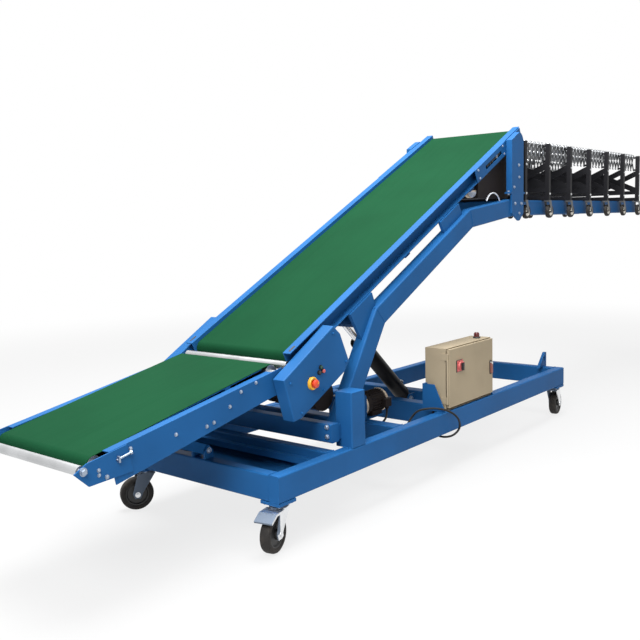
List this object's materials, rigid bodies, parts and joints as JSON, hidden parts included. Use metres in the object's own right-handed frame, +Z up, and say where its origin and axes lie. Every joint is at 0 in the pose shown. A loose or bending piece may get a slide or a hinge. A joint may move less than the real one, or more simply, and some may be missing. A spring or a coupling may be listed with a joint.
{
  "type": "mobile telescopic conveyor",
  "caption": "Blue mobile belt conveyor on castors with a folded infeed, a hydraulic lifting boom and a telescopic roller unit stored on its head platform.",
  "frame": {"origin": "floor under the middle of the machine's length, on its centre plane", "axes": "+X up the incline towards the head, +Y to the left seen from the tail, +Z up"},
  "size_m": [5.96, 1.0827, 1.9887],
  "materials": {
    "blue_paint": "gloss",
    "belt_green": "satin",
    "zinc_steel": "satin",
    "black_paint": "satin",
    "castor_grey": "satin",
    "castor_rubber": "matte",
    "box_beige": "satin",
    "button_red": "gloss",
    "cylinder_black": "gloss",
    "rod_chrome": "polished",
    "block_tan": "satin",
    "cable_black": "matte"
  },
  "bodies": {
    "base": {"base_side_rails": "blue_paint", "base_cross_beams": "blue_paint", "pivot_columns": "blue_paint", "base_fittings": "blue_paint", "pump_motor": "black_paint", "pump_block": "block_tan", "oil_tank": "blue_paint", "control_box": "box_beige", "box_lamp": "button_red", "control_cable": "cable_black"},
    "boom": {"boom_tubes": "blue_paint", "boom_cross_members": "blue_paint", "platform_beams": "blue_paint", "head_posts": "blue_paint", "incline_sides": "blue_paint", "incline_bed": "blue_paint", "incline_belt": "belt_green", "incline_rollers": "zinc_steel", "chain_cases": "blue_paint", "case_buttons": "button_red", "drive_motor": "black_paint", "tele_leg_1": "black_paint", "tele_rollers_1": "zinc_steel"},
    "infeed": {"infeed_sides": "blue_paint", "infeed_bed": "blue_paint", "infeed_belt": "belt_green", "infeed_rollers": "zinc_steel", "infeed_nose_plates": "blue_paint"},
    "prop": {"infeed_prop": "blue_paint"},
    "lift_barrel": {"cylinder_barrel": "cylinder_black"},
    "lift_rod": {"cylinder_rod": "rod_chrome"},
    "door": {"box_door": "box_beige", "door_fittings": "button_red"},
    "leg_wheels_1": {"tele_wheels_1": "castor_rubber"},
    "leg_2": {"tele_leg_2": "black_paint", "tele_rollers_2": "zinc_steel"},
    "leg_wheels_2": {"tele_wheels_2": "castor_rubber"},
    "leg_3": {"tele_leg_3": "black_paint", "tele_rollers_3": "zinc_steel"},
    "leg_wheels_3": {"tele_wheels_3": "castor_rubber"},
    "leg_4": {"tele_leg_4": "black_paint", "tele_rollers_4": "zinc_steel"},
    "leg_wheels_4": {"tele_wheels_4": "castor_rubber"},
    "leg_5": {"tele_leg_5": "black_paint", "tele_rollers_5": "zinc_steel"},
    "leg_wheels_5": {"tele_wheels_5": "castor_rubber"},
    "leg_6": {"tele_leg_6": "black_paint", "tele_rollers_6": "zinc_steel"},
    "leg_wheels_6": {"tele_wheels_6": "castor_rubber"},
    "leg_7": {"tele_leg_7": "black_paint"},
    "leg_wheels_7": {"tele_wheels_7": "castor_rubber"},
    "castor_tail_right": {"castor_fork_tail_right": "castor_grey"},
    "wheel_tail_right": {"castor_wheel_tail_right": "castor_rubber"},
    "castor_tail_left": {"castor_fork_tail_left": "castor_grey"},
    "wheel_tail_left": {"castor_wheel_tail_left": "castor_rubber"},
    "castor_head_right": {"castor_fork_head_right": "castor_grey"},
    "wheel_head_right": {"castor_wheel_head_right": "castor_rubber"},
    "castor_head_left": {"castor_fork_head_left": "castor_grey"},
    "wheel_head_left": {"castor_wheel_head_left": "castor_rubber"}
  },
  "joints": [
    {"name": "boom_lift", "type": "hinge", "parent": "base", "child": "boom", "pos_m": [-1.5, 0, 0.42], "axis": [0, -1, 0], "range_deg": [-8, 6]},
    {"name": "infeed_fold", "type": "hinge", "parent": "boom", "child": "infeed", "pos_m": [-1.883, 0, 0.683], "axis": [0, -1, 0], "range_deg": [-4.73, 6.24]},
    {"name": "prop_swing", "type": "hinge", "parent": "base", "child": "prop", "pos_m": [-2.07, 0, 0.378], "axis": [0, -1, 0], "range_deg": [-11.69, 8.82]},
    {"name": "cylinder_swing", "type": "hinge", "parent": "base", "child": "lift_barrel", "pos_m": [-0.365, 0, 0.3], "axis": [0, -1, 0], "range_deg": [-0.529, 0.422]},
    {"name": "cylinder_stroke", "type": "slide", "parent": "lift_barrel", "child": "lift_rod", "axis": [-0.7486, 0, 0.663], "range_m": [-0.0945, 0.0714]},
    {"name": "box_door_hinge", "type": "hinge", "parent": "base", "child": "door", "pos_m": [-0.693, -0.495, 0.515], "axis": [0, 0, -1], "range_deg": [0, 100]},
    {"name": "leg_wheel_spin_1", "type": "hinge", "parent": "boom", "child": "leg_wheels_1", "pos_m": [0.633, 0, 1.4358], "axis": [0, 1, 0], "continuous": true},
    {"name": "tele_extend", "type": "slide", "parent": "boom", "child": "leg_2", "axis": [1, 0, 0], "range_m": [0, 0.33]},
    {"name": "leg_wheel_spin_2", "type": "hinge", "parent": "leg_2", "child": "leg_wheels_2", "pos_m": [1.014, 0, 1.4358], "axis": [0, 1, 0], "continuous": true},
    {"name": "tele_extend_3", "type": "slide", "parent": "leg_2", "child": "leg_3", "axis": [1, 0, 0], "range_m": [0, 0.33]},
    {"name": "leg_wheel_spin_3", "type": "hinge", "parent": "leg_3", "child": "leg_wheels_3", "pos_m": [1.395, 0, 1.4358], "axis": [0, 1, 0], "continuous": true},
    {"name": "tele_extend_4", "type": "slide", "parent": "leg_3", "child": "leg_4", "axis": [1, 0, 0], "range_m": [0, 0.33]},
    {"name": "leg_wheel_spin_4", "type": "hinge", "parent": "leg_4", "child": "leg_wheels_4", "pos_m": [1.776, 0, 1.4358], "axis": [0, 1, 0], "continuous": true},
    {"name": "tele_extend_5", "type": "slide", "parent": "leg_4", "child": "leg_5", "axis": [1, 0, 0], "range_m": [0, 0.33]},
    {"name": "leg_wheel_spin_5", "type": "hinge", "parent": "leg_5", "child": "leg_wheels_5", "pos_m": [2.157, 0, 1.4358], "axis": [0, 1, 0], "continuous": true},
    {"name": "tele_extend_6", "type": "slide", "parent": "leg_5", "child": "leg_6", "axis": [1, 0, 0], "range_m": [0, 0.33]},
    {"name": "leg_wheel_spin_6", "type": "hinge", "parent": "leg_6", "child": "leg_wheels_6", "pos_m": [2.538, 0, 1.4358], "axis": [0, 1, 0], "continuous": true},
    {"name": "tele_extend_7", "type": "slide", "parent": "leg_6", "child": "leg_7", "axis": [1, 0, 0], "range_m": [0, 0.33]},
    {"name": "leg_wheel_spin_7", "type": "hinge", "parent": "leg_7", "child": "leg_wheels_7", "pos_m": [2.919, 0, 1.4358], "axis": [0, 1, 0], "continuous": true},
    {"name": "swivel_tail_right", "type": "hinge", "parent": "base", "child": "castor_tail_right", "pos_m": [-2.045, -0.445, 0.205], "axis": [0, 0, 1], "continuous": true},
    {"name": "spin_tail_right", "type": "hinge", "parent": "castor_tail_right", "child": "wheel_tail_right", "pos_m": [-2.09859, -0.45737, 0.0825], "axis": [0.225, -0.9744, 0], "continuous": true},
    {"name": "swivel_tail_left", "type": "hinge", "parent": "base", "child": "castor_tail_left", "pos_m": [-2.045, 0.445, 0.205], "axis": [0, 0, 1], "continuous": true},
    {"name": "spin_tail_left", "type": "hinge", "parent": "castor_tail_left", "child": "wheel_tail_left", "pos_m": [-2.09263, 0.4725, 0.0825], "axis": [-0.5, -0.866, 0], "continuous": true},
    {"name": "swivel_head_right", "type": "hinge", "parent": "base", "child": "castor_head_right", "pos_m": [0.845, -0.445, 0.205], "axis": [0, 0, 1], "continuous": true},
    {"name": "spin_head_right", "type": "hinge", "parent": "castor_head_right", "child": "wheel_head_right", "pos_m": [0.89946, -0.43734, 0.0825], "axis": [-0.1392, 0.9903, 0], "continuous": true},
    {"name": "swivel_head_left", "type": "hinge", "parent": "base", "child": "castor_head_left", "pos_m": [0.845, 0.445, 0.205], "axis": [0, 0, 1], "continuous": true},
    {"name": "spin_head_left", "type": "hinge", "parent": "castor_head_left", "child": "wheel_head_left", "pos_m": [0.89979, 0.44021, 0.0825], "axis": [0.0872, 0.9962, 0], "continuous": true}
  ],
  "couplings": [
    {"joint": "infeed_fold", "follows": "boom_lift", "ratio": -0.75481},
    {"joint": "prop_swing", "follows": "boom_lift", "ratio": 1.4364},
    {"joint": "cylinder_swing", "follows": "boom_lift", "ratio": 0.05361},
    {"joint": "cylinder_stroke", "follows": "boom_lift", "m_per_rad": 0.66271},
    {"joint": "tele_extend_3", "follows": "tele_extend", "ratio": 1},
    {"joint": "tele_extend_4", "follows": "tele_extend", "ratio": 1},
    {"joint": "tele_extend_5", "follows": "tele_extend", "ratio": 1},
    {"joint": "tele_extend_6", "follows": "tele_extend", "ratio": 1},
    {"joint": "tele_extend_7", "follows": "tele_extend", "ratio": 1}
  ]
}
